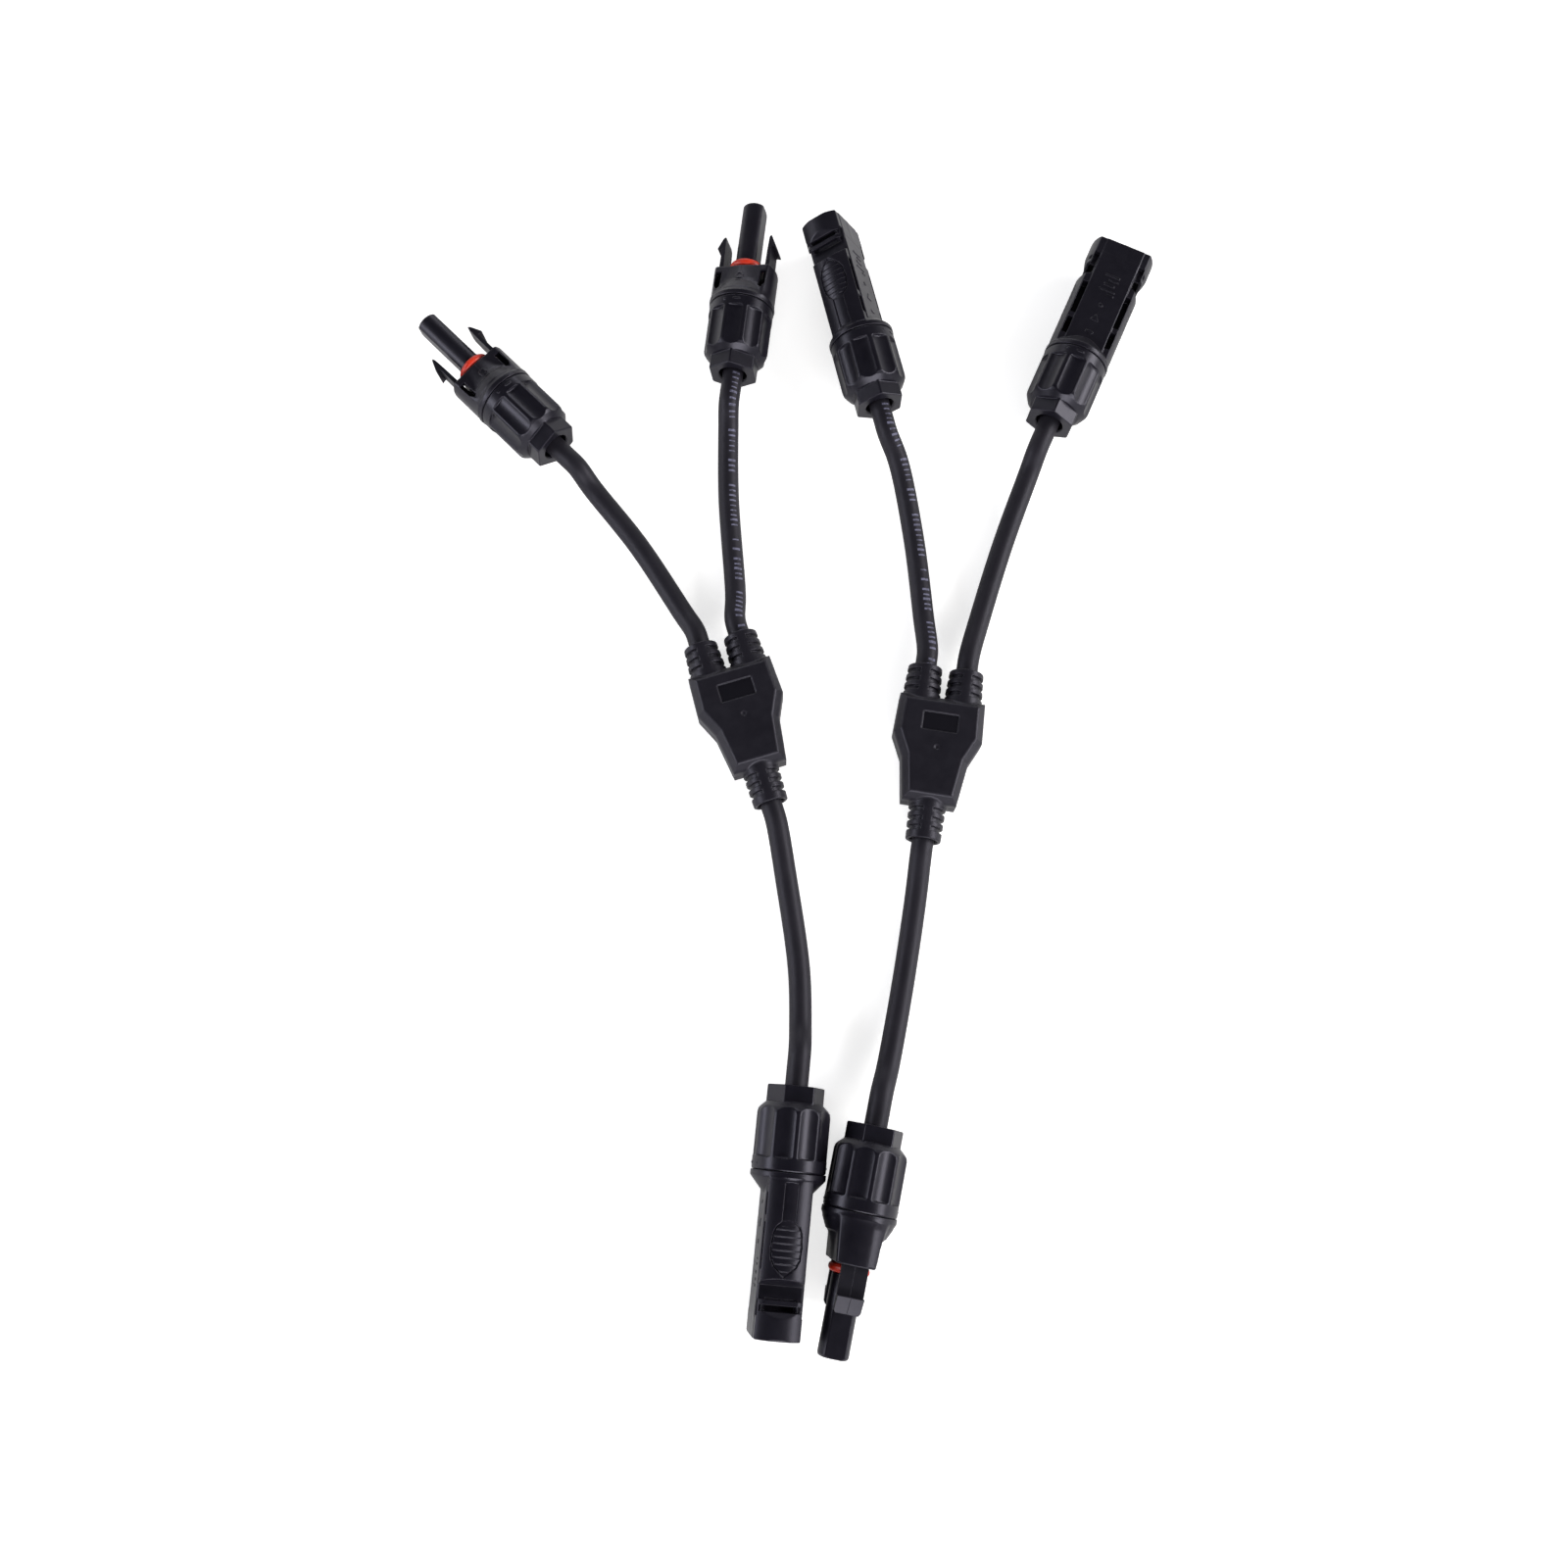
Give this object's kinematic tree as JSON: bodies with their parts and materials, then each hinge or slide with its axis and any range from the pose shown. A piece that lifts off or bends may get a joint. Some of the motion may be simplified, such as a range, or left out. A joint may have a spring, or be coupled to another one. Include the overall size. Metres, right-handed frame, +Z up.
{
  "type": "solar cable connector",
  "caption": "Pair of Y-branch solar cable connectors: round-nosed latching sockets and T-headed plugs on black cable legs that meet in moulded splitters.",
  "frame": {"origin": "centre of the footprint of the whole pair, on the table plane", "axes": "+Z up, +Y towards the two-connector ends of both harnesses, +X towards harness B"},
  "size_m": [0.218, 0.3266, 0.0193],
  "materials": {
    "housing_plastic": "fine moulded black, soft sheen",
    "nut_plastic": "smooth moulded black",
    "overmould": "fine grained soft black",
    "cable_jacket": "matte black jacket with pale marks",
    "seal_rubber": "matte dark rubber",
    "o_ring_silicone": "satin red silicone",
    "cage_nylon": "dark nylon",
    "inner_mould": "dark moulded core",
    "tinned_contact": "bright tin plate",
    "tinned_strand": "tinned copper strand"
  },
  "bodies": {
    "splitter_a": {"a_splitter_overmould": "overmould", "a_splitter_inner_mould": "inner_mould", "a_splice_ferrule": "tinned_contact", "a_splice_wires": "tinned_strand"},
    "splitter_b": {"b_splitter_overmould": "overmould", "b_splitter_inner_mould": "inner_mould", "b_splice_ferrule": "tinned_contact", "b_splice_wires": "tinned_strand"},
    "a_left_leg": {"a_left_cable_jacket": "cable_jacket", "a_left_cable_conductor": "tinned_strand", "a_left_gland_seal": "seal_rubber", "a_left_socket_housing": "housing_plastic", "a_left_socket_contact": "tinned_contact", "a_left_o_ring": "o_ring_silicone"},
    "a_left_arm_left": {"a_left_latch_arm_left": "housing_plastic"},
    "a_left_arm_right": {"a_left_latch_arm_right": "housing_plastic"},
    "a_left_cage": {"a_left_clamp_cage": "cage_nylon"},
    "a_left_nut": {"a_left_gland_nut": "nut_plastic"},
    "a_right_leg": {"a_right_cable_jacket": "cable_jacket", "a_right_cable_conductor": "tinned_strand", "a_right_gland_seal": "seal_rubber", "a_right_socket_housing": "housing_plastic", "a_right_socket_contact": "tinned_contact", "a_right_o_ring": "o_ring_silicone"},
    "a_right_arm_left": {"a_right_latch_arm_left": "housing_plastic"},
    "a_right_arm_right": {"a_right_latch_arm_right": "housing_plastic"},
    "a_right_cage": {"a_right_clamp_cage": "cage_nylon"},
    "a_right_nut": {"a_right_gland_nut": "nut_plastic"},
    "a_lower_leg": {"a_lower_cable_jacket": "cable_jacket", "a_lower_cable_conductor": "tinned_strand", "a_lower_gland_seal": "seal_rubber", "a_lower_plug_housing": "housing_plastic", "a_lower_pin_contact": "tinned_contact"},
    "a_lower_cage": {"a_lower_clamp_cage": "cage_nylon"},
    "a_lower_nut": {"a_lower_gland_nut": "nut_plastic"},
    "b_left_leg": {"b_left_cable_jacket": "cable_jacket", "b_left_cable_conductor": "tinned_strand", "b_left_gland_seal": "seal_rubber", "b_left_plug_housing": "housing_plastic", "b_left_pin_contact": "tinned_contact"},
    "b_left_cage": {"b_left_clamp_cage": "cage_nylon"},
    "b_left_nut": {"b_left_gland_nut": "nut_plastic"},
    "b_right_leg": {"b_right_cable_jacket": "cable_jacket", "b_right_cable_conductor": "tinned_strand", "b_right_gland_seal": "seal_rubber", "b_right_plug_housing": "housing_plastic", "b_right_pin_contact": "tinned_contact"},
    "b_right_cage": {"b_right_clamp_cage": "cage_nylon"},
    "b_right_nut": {"b_right_gland_nut": "nut_plastic"},
    "b_lower_leg": {"b_lower_cable_jacket": "cable_jacket", "b_lower_cable_conductor": "tinned_strand", "b_lower_gland_seal": "seal_rubber", "b_lower_socket_housing": "housing_plastic", "b_lower_socket_contact": "tinned_contact", "b_lower_o_ring": "o_ring_silicone"},
    "b_lower_arm_left": {"b_lower_latch_arm_left": "housing_plastic"},
    "b_lower_arm_right": {"b_lower_latch_arm_right": "housing_plastic"},
    "b_lower_cage": {"b_lower_clamp_cage": "cage_nylon"},
    "b_lower_nut": {"b_lower_gland_nut": "nut_plastic"}
  },
  "joints": [
    {"name": "harness_b_place", "type": "slide", "parent": "splitter_a", "child": "splitter_b", "axis": [1, 0, 0], "range_m": [0, 0.08]},
    {"name": "a_left_cable_bend", "type": "hinge", "parent": "splitter_a", "child": "a_left_leg", "pos_m": [-0.02382, 0.0211, 0.00637], "axis": [0, 0, 1], "range_deg": [-6, 8]},
    {"name": "a_left_latch_left", "type": "hinge", "parent": "a_left_leg", "child": "a_left_arm_left", "pos_m": [-0.09035, 0.09726, 0.00917], "axis": [0.0495, 0.0492, -0.9976], "range_deg": [0, 5]},
    {"name": "a_left_latch_right", "type": "hinge", "parent": "a_left_leg", "child": "a_left_arm_right", "pos_m": [-0.0803, 0.10724, 0.01016], "axis": [-0.0495, -0.0492, 0.9976], "range_deg": [0, 5]},
    {"name": "a_left_cage_slide", "type": "slide", "parent": "a_left_leg", "child": "a_left_cage", "axis": [0.7046, -0.7096, 0], "range_m": [0, 0.00301]},
    {"name": "a_left_nut_turn", "type": "hinge", "parent": "a_left_cage", "child": "a_left_nut", "pos_m": [-0.07441, 0.09125, 0.00967], "axis": [0.7046, -0.7096, 0], "range_deg": [0, 720]},
    {"name": "a_right_cable_bend", "type": "hinge", "parent": "splitter_a", "child": "a_right_leg", "pos_m": [-0.01273, 0.02451, 0.00637], "axis": [0, 0, 1], "range_deg": [0, 8]},
    {"name": "a_right_latch_left", "type": "hinge", "parent": "a_right_leg", "child": "a_right_arm_left", "pos_m": [-0.01996, 0.13352, 0.00795], "axis": [0.2403, -0.0278, -0.9703], "range_deg": [0, 5]},
    {"name": "a_right_latch_right", "type": "hinge", "parent": "a_right_leg", "child": "a_right_arm_right", "pos_m": [-0.00628, 0.13194, 0.01138], "axis": [-0.2403, 0.0278, 0.9703], "range_deg": [0, 5]},
    {"name": "a_right_cage_slide", "type": "slide", "parent": "a_right_leg", "child": "a_right_cage", "axis": [-0.1149, -0.9934, 0], "range_m": [0, 0.00301]},
    {"name": "a_right_nut_turn", "type": "hinge", "parent": "a_right_cage", "child": "a_right_nut", "pos_m": [-0.0149, 0.11733, 0.00967], "axis": [-0.1149, -0.9934, 0], "range_deg": [0, 720]},
    {"name": "a_lower_cable_bend", "type": "hinge", "parent": "splitter_a", "child": "a_lower_leg", "pos_m": [-0.00529, -0.01944, 0.00637], "axis": [0, 0, 1], "range_deg": [-8, 0]},
    {"name": "a_lower_cage_slide", "type": "slide", "parent": "a_lower_leg", "child": "a_lower_cage", "axis": [0.0993, 0.9951, 0], "range_m": [0, 0.00301]},
    {"name": "a_lower_nut_turn", "type": "hinge", "parent": "a_lower_cage", "child": "a_lower_nut", "pos_m": [0.00115, -0.10785, 0.00967], "axis": [0.0993, 0.9951, 0], "range_deg": [0, 720]},
    {"name": "b_left_cable_bend", "type": "hinge", "parent": "splitter_b", "child": "b_left_leg", "pos_m": [0.03821, 0.01483, 0.00637], "axis": [0, 0, 1], "range_deg": [-8, 0]},
    {"name": "b_left_cage_slide", "type": "slide", "parent": "b_left_leg", "child": "b_left_cage", "axis": [0.2317, -0.9728, 0], "range_m": [0, 0.00301]},
    {"name": "b_left_nut_turn", "type": "hinge", "parent": "b_left_cage", "child": "b_left_nut", "pos_m": [0.02456, 0.10702, 0.00967], "axis": [0.2317, -0.9728, 0], "range_deg": [0, 720]},
    {"name": "b_right_cable_bend", "type": "hinge", "parent": "splitter_b", "child": "b_right_leg", "pos_m": [0.04967, 0.01301, 0.00637], "axis": [0, 0, 1], "range_deg": [-8, 6]},
    {"name": "b_right_cage_slide", "type": "slide", "parent": "b_right_leg", "child": "b_right_cage", "axis": [-0.4051, -0.9143, 0], "range_m": [0, 0.00301]},
    {"name": "b_right_nut_turn", "type": "hinge", "parent": "b_right_cage", "child": "b_right_nut", "pos_m": [0.08025, 0.1008, 0.00967], "axis": [-0.4051, -0.9143, 0], "range_deg": [0, 720]},
    {"name": "b_lower_cable_bend", "type": "hinge", "parent": "splitter_b", "child": "b_lower_leg", "pos_m": [0.03701, -0.02973, 0.00637], "axis": [0, 0, 1], "range_deg": [0, 8]},
    {"name": "b_lower_latch_left", "type": "hinge", "parent": "b_lower_leg", "child": "b_lower_arm_left", "pos_m": [0.01611, -0.13265, 0.00264], "axis": [-0.9693, 0.2025, 0.1392], "range_deg": [0, 5]},
    {"name": "b_lower_latch_right", "type": "hinge", "parent": "b_lower_leg", "child": "b_lower_arm_right", "pos_m": [0.01804, -0.13305, 0.0167], "axis": [0.9693, -0.2025, -0.1392], "range_deg": [0, 5]},
    {"name": "b_lower_cage_slide", "type": "slide", "parent": "b_lower_leg", "child": "b_lower_cage", "axis": [0.2045, 0.9789, 0], "range_m": [0, 0.00301]},
    {"name": "b_lower_nut_turn", "type": "hinge", "parent": "b_lower_cage", "child": "b_lower_nut", "pos_m": [0.02024, -0.11768, 0.00967], "axis": [0.2045, 0.9789, 0], "range_deg": [0, 720]}
  ],
  "couplings": [
    {"joint": "a_left_cage_slide", "follows": "a_left_nut_turn", "m_per_rad": 0.00023873},
    {"joint": "a_right_cage_slide", "follows": "a_right_nut_turn", "m_per_rad": 0.00023873},
    {"joint": "a_lower_cage_slide", "follows": "a_lower_nut_turn", "m_per_rad": 0.00023873},
    {"joint": "b_left_cage_slide", "follows": "b_left_nut_turn", "m_per_rad": 0.00023873},
    {"joint": "b_right_cage_slide", "follows": "b_right_nut_turn", "m_per_rad": 0.00023873},
    {"joint": "b_lower_cage_slide", "follows": "b_lower_nut_turn", "m_per_rad": 0.00023873}
  ]
}
